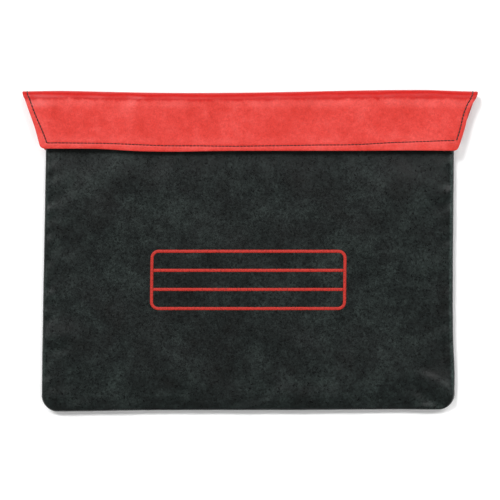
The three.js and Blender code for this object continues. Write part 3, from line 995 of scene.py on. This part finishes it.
def make_mouth_binding():
    """The tape folded over the front panel's top edge, with its row of stitches."""
    half = binding_high.x
    leg = 10 * MM
    x = np.linspace(-half, half, 120)
    outer_z = binding_high.z - TAPE / 2
    inner_z = binding_low.z + TAPE / 2
    middle = (outer_z + inner_z) / 2
    radius = (outer_z - inner_z) / 2
    centre_y = MOUTH_Y - 0.9 * MM
    turn = np.linspace(math.pi / 2, -math.pi / 2, 9)
    y = np.concatenate([
        np.linspace(MOUTH_Y - leg, centre_y, 8)[:-1], centre_y + 0.7 * MM * np.cos(turn),
        np.linspace(centre_y, MOUTH_Y - leg, 8)[1:],
    ])
    z = np.concatenate([
        np.full(7, outer_z), middle + radius * np.sin(turn), np.full(7, inner_z),
    ])
    tangent = np.stack([np.gradient(y), np.gradient(z)], axis=1)
    tangent /= np.linalg.norm(tangent, axis=1)[:, None]
    normal = np.stack([-tangent[:, 1], tangent[:, 0]], axis=1)
    grid_x, _ = np.meshgrid(x, y)
    soft = 0.15 * MM * soft_ripple(grid_x, 0.2 + 0 * grid_x)
    faces = []
    for side in (1, -1):
        py = (y + side * normal[:, 0] * TAPE / 2)[:, None] + 0 * grid_x
        pz = (z + side * normal[:, 1] * TAPE / 2)[:, None] + soft
        lx, ly = lean(grid_x, py)
        faces.append(np.stack([lx, ly, pz], axis=-1))
    run = np.concatenate([[0], np.cumsum(np.hypot(np.diff(y), np.diff(z)))])
    place = np.stack([grid_x, run[:, None] + 0 * grid_x, 0 * grid_x], axis=-1)
    tape = make_sheet(
        "mouth_tape", faces[0], faces[1], polyester_tape, "bag", place
    )
    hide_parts("mouth_binding")
    line_y = MOUTH_Y - 6 * MM
    line_x = np.linspace(-half + 4 * MM, half - 4 * MM, 200)
    path = np.stack(lean(line_x, np.full_like(line_x, line_y)), axis=1)
    holes = even_holes(path, SEAM_PITCH)
    z = binding_high.z + 0.15 * MM * soft_ripple(holes[:, 0], 0.2 + 0 * holes[:, 0]) + 0.03 * MM
    holes = np.column_stack([holes, z])
    normals = np.tile([0, 0, 1.0], (len(holes), 1))
    row = make_stitches(
        "mouth_stitches", [(holes, normals)], SEAM_THREAD, black_thread, "bag"
    )
    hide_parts("mouth_thread")


# ------------------------------------------------------------------ printed panel

def make_print():
    """A blank contents panel in ink: a rounded border with rows ruled across it. The ink lies on
    the cloth and follows its relief."""
    line = 2.6 * MM
    half_w = (print_high.x - print_low.x) / 2 - line / 2
    half_h = (print_high.y - print_low.y) / 2 - line / 2
    mid_y = (print_high.y + print_low.y) / 2
    radius = 7 * MM - line / 2
    quarter = np.linspace(0, math.pi / 2, 8)
    corners = []
    for k, (sx, sy) in enumerate(((1, 1), (-1, 1), (-1, -1), (1, -1))):
        angle = quarter + k * math.pi / 2
        corners.append(np.stack([
            sx * (half_w - radius) + radius * np.cos(angle),
            sy * (half_h - radius) + radius * np.sin(angle),
        ], axis=1))
    border = np.concatenate([*corners, corners[0][:1]])
    step = 1.6 * MM
    strips = [(even_holes(border, step), True)]
    rows = 3
    gap = (2 * half_h + line - (rows + 1) * line) / rows
    for k in (-0.5, 0.5):
        y = k * (gap + line)
        reach = half_w - line / 2 - 0.02 * MM
        strips.append((even_holes(np.array([[-reach, y], [reach, y]]), step), False))
    points, faces = [], []
    first = 0
    for path, closed in strips:
        if closed:
            path = path[:-1]
            ahead = np.roll(path, -1, axis=0) - np.roll(path, 1, axis=0)
        else:
            ahead = np.gradient(path, axis=0)
        ahead /= np.linalg.norm(ahead, axis=1)[:, None]
        side = np.stack([-ahead[:, 1], ahead[:, 0]], axis=1)
        lanes = np.linspace(-0.5, 0.5, 4)
        flat = path[None] + lanes[:, None, None] * line * side[None]
        x, y = flat[..., 0], flat[..., 1] + mid_y
        top = bag_front(x, y) + [0, 0, 0.07 * MM]
        low = bag_front(x, y) - [0, 0, 0.05 * MM]
        points += [top.reshape(-1, 3), low.reshape(-1, 3)]
        faces += sheet_faces(len(lanes), len(path), first, closed)
        first += 2 * len(lanes) * len(path)
    print_piece = make_piece(
        "contents_panel_print", np.concatenate(points), faces, ink, "bag"
    )
    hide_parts("front_print")


# ------------------------------------------------------------------ red strip: yoke, fold and flap

STRIP_CORNER = 3.2 * MM
STRIP_FINE = np.array([
    0, 0.12, 0.3, 0.55, 0.85, 1.2, 1.7, 2.4, 3.2, 3.6, 4, 4.4, 4.9, 5.4, 5.8, 6.2, 7, 8.5, 10.5,
]) * MM
strip_sag = Waves(21, 45 * MM, 120 * MM)
strip_ripple = Waves(29, 12 * MM, 30 * MM)


def fold_angle(run):
    """The outward direction's angle above level: down on the yoke, up on the flap."""
    return np.clip((run - YOKE_RUN) / FOLD_RADIUS, 0, math.pi) - math.pi / 2


def strip_y(run):
    """The height on the pouch, seen flat, of a place along the strip from the yoke's edge."""
    yoke = YOKE_EDGE_Y + run
    flap = FOLD_Y - (run - YOKE_RUN - FOLD_RUN)
    on_fold = FOLD_Y + FOLD_RADIUS * np.cos(fold_angle(run))
    return np.where(run < YOKE_RUN, yoke, np.where(run > YOKE_RUN + FOLD_RUN, flap, on_fold))


def strip_half(run):
    up = (strip_y(run) - FLAP_EDGE_Y) / (FOLD_TOP_Y - FLAP_EDGE_Y)
    return HALF_EDGE + (HALF_FOLD - HALF_EDGE) * up


def side_row(x, run):
    """How far in from the strip's side its row of stitches runs. It wanders in on the left."""
    after = np.clip(run - YOKE_RUN - FOLD_RUN, 0, None)
    return np.where(x < 0, 4 * MM + 2.4 * MM * smooth((after - 10 * MM) / (36 * MM)), 3.8 * MM)


def edge_row(x, run):
    """How far up from the strip's lower edge its row runs. On the flap it was sewn freehand."""
    drift = (
        4.9 - 0.9 * bump(x + 5 * MM, 35 * MM) + 0.6 * bump(x + 95 * MM, 25 * MM)
        + 3.9 * smooth((x - 60 * MM) / (130 * MM))
    )
    return np.where(run > YOKE_RUN + FOLD_RUN / 2, drift, 5.5) * MM


def strip_insets(x, run):
    """Distances in from the strip's slanting side and from its nearer lower edge."""
    side = (strip_half(run) - np.abs(x)) / math.hypot(1, STRIP_SLOPE)
    return side, np.minimum(run, STRIP_RUN - run)


def strip_point(x, run, under=0.0):
    """A point of the strip, under its outer face by that much."""
    angle = fold_angle(run)
    before = np.minimum(run - YOKE_RUN, 0)
    after = np.maximum(run - YOKE_RUN - FOLD_RUN, 0)
    ny, nz = np.cos(angle), np.sin(angle)
    on_flap = smooth(after / (14 * MM))
    round_fold = smooth(1 - np.abs(run - YOKE_RUN - FOLD_RUN / 2) / (30 * MM))
    side, edge = strip_insets(x, run)
    inside = np.minimum(side, edge)
    wave = (
        1.5 * np.sin(2 * math.pi * (x - 50 * MM) / (360 * MM))
        * (1 - 0.7 * smooth((np.abs(x) - 150 * MM) / (45 * MM)))
    )
    wave = wave + 0.45 * bump(x + 25 * MM, 75 * MM)
    edge_wave = 1.9 * smooth((-x - 92 * MM) / (48 * MM)) - 0.75 * bump(x + 68 * MM, 32 * MM)
    edge_wave = edge_wave + 0.3 * bump(x - 135 * MM, 30 * MM) - 0.45
    shift = MM * (wave * round_fold + edge_wave * smooth((after - 20 * MM) / (22 * MM)))
    rows = np.minimum(side - side_row(x, run), edge - edge_row(x, run))
    groove = 0.26 * MM * bump(rows, 0.9 * MM)
    lift = on_flap * (
        0.16 * MM * strip_sag(x, run) + 0.07 * MM * strip_ripple(x, run) * smooth(inside / (6 * MM))
    )
    roll = 0.5 * MM * (1 - np.sqrt(np.clip(1 - (1 - np.clip(inside / (1.4 * MM), 0, 1)) ** 2, 0, 1)))
    droop = on_flap * 0.15 * MM * smooth(after / FLAP_RUN) + 0.4 * MM * on_flap * smooth(
        (np.abs(x) - HALF_MOUTH) / (16 * MM)
    )
    droop = droop - 0.8 * MM * smooth((after - FLAP_RUN + 14 * MM) / (14 * MM))
    ears = smooth((np.abs(x) - HALF_MOUTH) / (12 * MM))
    shoulder = smooth((run - YOKE_RUN - 0.55 * FOLD_RUN) / (0.4 * FOLD_RUN))
    patchy = 0.95 + 0.35 * strip_ripple(x * 0.6, 0.1) + 0.25 * strip_sag(x, 0.1)
    shoulder = shoulder * patchy * MM * (1 - smooth((after + 0.5 * MM) / (8.5 * MM)))
    sides_of = FOLD_RADIUS - under - groove - roll + lift - droop - shoulder
    sides_of = sides_of - 0.4 * MM * ears * np.abs(nz) * (1 - on_flap) * (before == 0)
    y = FOLD_Y + before - after + sides_of * ny
    z = FOLD_Z + sides_of * nz
    y = np.where(before < 0, FOLD_Y + before, np.where(after > 0, FOLD_Y - after, y)) + shift
    flare = np.where(
        x < 0, -2.1 * smooth((after - 20 * MM) / (26 * MM)),
        -0.6 * smooth(after / (4 * MM)) - 1.8 * bump(after - 11 * MM, 12 * MM),
    )
    spread = x + flare * MM * smooth((np.abs(x) - 120 * MM) / (55 * MM))
    return np.stack([spread, y, z], axis=-1)


def strip_grid():
    """Flat places over the whole strip, close together at its edges and round the fold."""
    first = edge_steps(STRIP_FINE, 1.8 * MM, YOKE_RUN)
    fold = YOKE_RUN + FOLD_RUN * np.arange(1, 30) / 30
    last = STRIP_RUN - first[::-1]
    runs = np.concatenate([first, fold, last])
    rows = []
    for run in runs:
        half = strip_half(run) - corner_cut(min(run, STRIP_RUN - run), STRIP_CORNER)
        x = across_row(half, STRIP_FINE, 2.4 * MM, HALF_EDGE)
        rows.append(np.stack([x, np.full_like(x, run)], axis=1))
    return np.array(rows)


def lining_depth(x, run, face):
    """How far the facing lies under the outer face: well under it on the flap, where the felt is
    between them, close under it on the yoke, and joined to it at the turned edges."""
    side, edge = strip_insets(x, run)
    inside = np.minimum(side, edge)
    t = smooth((run - YOKE_RUN) / FOLD_RUN)
    top = (0.55 + (1.6 - 0.55) * t) * MM
    thick = (0.2 + 0.2 * t) * MM
    together = smooth(inside / (2.6 * MM))
    return (0.52 * MM + (top - 0.52 * MM) * together) + face * thick


def blend_strip(piece):
    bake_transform(piece)


def make_strip():
    grid = strip_grid()
    x, run = grid[..., 0], grid[..., 1]
    place = np.stack([x, run, 0 * x], axis=-1)
    outer = make_sheet(
        "red_strip_outer", strip_point(x, run), strip_point(x, run, SHELL), red_strip,
        None, place,
    )
    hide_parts("rear_yoke", "fold_outer", "flap_outer")
    blend_strip(outer)
    facing = make_sheet(
        "red_strip_facing",
        strip_point(x, run, lining_depth(x, run, 0)),
        strip_point(x, run, lining_depth(x, run, 1)),
        red_facing, None, place + [0.5, 0.5, 0],
    )
    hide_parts("fold_lining", "flap_lining")
    blend_strip(facing)


def strip_row(points, under=0.0, facing=1):
    """Needle holes through (x, run) places, and their directions away from the fold's middle."""
    x, run = points[:, 0], points[:, 1]
    step = 0.2 * MM
    along_x = strip_point(x + step, run, under) - strip_point(x - step, run, under)
    along_run = strip_point(x, run + step, under) - strip_point(x, run - step, under)
    normal = np.cross(along_x, along_run)
    normal /= np.linalg.norm(normal, axis=1)[:, None]
    angle = fold_angle(run)
    outwards = np.stack([np.zeros_like(run), np.cos(angle), np.sin(angle)], axis=1)
    turn = facing * np.sign((normal * outwards).sum(axis=1))
    return strip_point(x, run, under), normal * turn[:, None]


def side_line(sign, low, high, count=160):
    run = np.linspace(low, high, count)
    wander = 0.3 * MM * np.sin(run / (17 * MM) + sign)
    inwards = side_row(sign * HALF_EDGE, run) * math.hypot(1, STRIP_SLOPE)
    return np.stack([sign * (strip_half(run) - inwards + wander), run], axis=1)


def edge_line(on_flap, count=300):
    """The row along the flap's or the yoke's lower edge, from one side row to the other."""
    near = STRIP_RUN - 5 * MM if on_flap else 5 * MM
    left = -(strip_half(near) - side_row(-1.0, near) - 0.5 * MM)
    right = strip_half(near) - side_row(1.0, near) - 0.5 * MM
    x = np.linspace(left, right, count)
    wander = 0.15 * MM * np.sin(x / (9 * MM) + 1)
    up = edge_row(x, near) + wander
    return np.stack([x, STRIP_RUN - up if on_flap else up], axis=1)


def make_strip_stitches():
    pitch = 3.1 * MM
    flap_edge = even_holes(edge_line(True), pitch)
    yoke_edge = even_holes(edge_line(False), pitch)
    ends = [STRIP_RUN - edge_row(s * HALF_EDGE, STRIP_RUN) for s in (-1, 1)]
    legs = [even_holes(side_line(s, 5.5 * MM, e), pitch) for s, e in zip((-1, 1), ends)]
    sides = make_stitches(
        "strip_side_stitches", [strip_row(leg) for leg in legs], 0.95 * MM, black_thread,
    )
    blend_strip(sides)
    low = make_stitches(
        "flap_edge_stitches", [strip_row(flap_edge)], 0.75 * MM, maroon_thread,
        "flap",
    )
    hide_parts("flap_needle_thread")
    rear = make_stitches(
        "yoke_edge_stitches", [strip_row(yoke_edge)], 0.4 * MM, maroon_thread,
        "bag",
    )
    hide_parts("rear_yoke_thread")
    start = YOKE_RUN + FOLD_RUN + 2 * MM
    inner = []
    for s, end in zip((-1, 1), ends):
        inner.append(even_holes(side_line(s, start, end), pitch))
    inner.append(flap_edge)
    rows = [strip_row(row, lining_depth(row[:, 0], row[:, 1], 1), -1) for row in inner]
    under = make_stitches(
        "flap_bobbin_stitches", rows, SEAM_THREAD, black_thread, "flap"
    )
    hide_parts("flap_bobbin_thread")


def make_flap_felt():
    inset = 8 * MM
    run = np.linspace(YOKE_RUN + FOLD_RUN + 0.5 * MM, STRIP_RUN - inset, 24)
    across = np.linspace(-1, 1, 140)
    half = strip_half(run) - inset
    x = half[:, None] * across[None]
    r = run[:, None] + 0 * x
    ply = make_sheet(
        "flap_felt", strip_point(x, r, 0.72 * MM), strip_point(x, r, 1.38 * MM), felt,
        "flap",
    )
    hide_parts("flap_insulation")


# ------------------------------------------------------------------ hook and loop tapes

def make_tape_ground(name, low, high, face_z, thickness, body):
    """The tape's woven ground, with its selvedges."""
    x = np.linspace(low.x, high.x, 160)
    y = np.concatenate([[0, 0.1, 0.3], np.linspace(0.7, 17.2, 20)]) * MM
    y = y / y[-1] * (high.y - low.y) + low.y
    gx, gy = np.meshgrid(x, y)
    edge = np.minimum(np.minimum(gx - low.x, high.x - gx), np.minimum(gy - low.y, high.y - gy))
    round_off = 0.12 * MM * (1 - smooth(edge / (0.6 * MM)))
    top = np.stack([gx, gy, face_z + thickness - round_off], axis=-1)
    bottom = np.stack([gx, gy, face_z + round_off], axis=-1)
    place = np.stack([gx, gy, 0 * gx], axis=-1)
    return make_sheet(name, top, bottom, polyester_tape, body, place)


def make_loop_tape():
    ground = make_tape_ground(
        "loop_tape_ground", loop_low, loop_high, loop_low.z, 0.32 * MM, "bag"
    )
    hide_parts("loop_tape")
    inset = 2 * MM
    x = np.linspace(loop_low.x + inset, loop_high.x - inset, 260)
    y = np.linspace(loop_low.y + inset, loop_high.y - inset, 26)
    gx, gy = np.meshgrid(x, y)
    dice = np.random.default_rng(8)
    fluff = dice.uniform(-0.5, 0.5, gx.shape)
    edge = np.minimum(np.minimum(gx - x[0], x[-1] - gx), np.minimum(gy - y[0], y[-1] - gy))
    z = loop_high.z - 0.02 * MM + 0.14 * MM * fluff - 0.3 * MM * (1 - smooth(edge / (1.2 * MM)))
    top = np.stack([gx + 0.15 * MM * fluff, gy, z], axis=-1)
    base = np.stack([gx, gy, np.full_like(gx, loop_low.z + 0.2 * MM)], axis=-1)
    make_sheet("loop_tape_pile", top, base, loop_pile, "bag")


def make_hook_tape():
    ground_low = hook_high.z - 0.32 * MM
    ground = make_tape_ground(
        "hook_tape_ground", hook_low, hook_high, ground_low, 0.32 * MM, "flap"
    )
    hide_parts("hook_tape")
    inset = 2.2 * MM
    pitch = 1.6 * MM
    sides = 5
    xs = np.arange(hook_low.x + inset, hook_high.x - inset, pitch)
    ys = np.arange(hook_low.y + inset, hook_high.y - inset, pitch)
    angle = 2 * math.pi * np.arange(sides) / sides
    drop = np.array([0.1, -0.18, -0.34, -0.40, -0.34, -0.24]) * MM
    reach = np.array([0, 0, 0.06, 0.2, 0.34, 0.38]) * MM
    radius = np.array([0.13, 0.11, 0.1, 0.1, 0.09, 0.06]) * MM
    points, faces = [], []
    first = 0
    for row, y in enumerate(ys):
        sign = 1 if row % 2 else -1
        for x in xs:
            centre = np.stack([x + sign * reach, y + 0 * reach, ground_low + drop], axis=1)
            tube = np.repeat(centre[:, None], sides, axis=1)
            tube[..., 0] += radius[:, None] * np.cos(angle)
            tube[..., 1] += radius[:, None] * np.sin(angle)
            points.append(tube.reshape(-1, 3))
            index = np.arange(len(drop) * sides).reshape(len(drop), sides) + first
            turned = np.roll(np.arange(sides), -1)
            quads = np.stack(
                [index[:-1], index[:-1, turned], index[1:, turned], index[1:]], axis=2
            )
            faces += quads.reshape(-1, 4).tolist()
            faces += [index[0].tolist(), index[-1, ::-1].tolist()]
            first += len(drop) * sides
    make_piece(
        "hook_tape_hooks", np.concatenate(points), faces, hook_nylon, "flap"
    )


def make_tape_stitches():
    for name, node, low, high, z, facing, body in (
        ("loop_tape_stitches", "loop_tape_thread", loop_low, loop_high, loop_low.z + 0.32 * MM,
         1, "bag"),
        ("hook_tape_stitches", "hook_tape_thread", hook_low, hook_high, hook_high.z - 0.32 * MM,
         -1, "flap"),
    ):
        inset = 1 * MM
        left, right = low.x + inset, high.x - inset
        base, top = low.y + inset, high.y - inset
        corners = [(left, base), (right, base), (right, top), (left, top), (left, base)]
        rows = []
        for start, end in zip(corners[:-1], corners[1:]):
            rows.append(level_row(np.array([start, end]), 2.8 * MM, z, facing))
        row = make_stitches(name, rows, 0.42 * MM, black_thread, body)
        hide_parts(node)


# ------------------------------------------------------------------ the pouch

make_bag_panels()
make_inner_plies()
make_seam_binding()
make_mouth_binding()
make_print()
make_strip()
make_strip_stitches()
make_flap_felt()
make_loop_tape()
make_hook_tape()
make_tape_stitches()
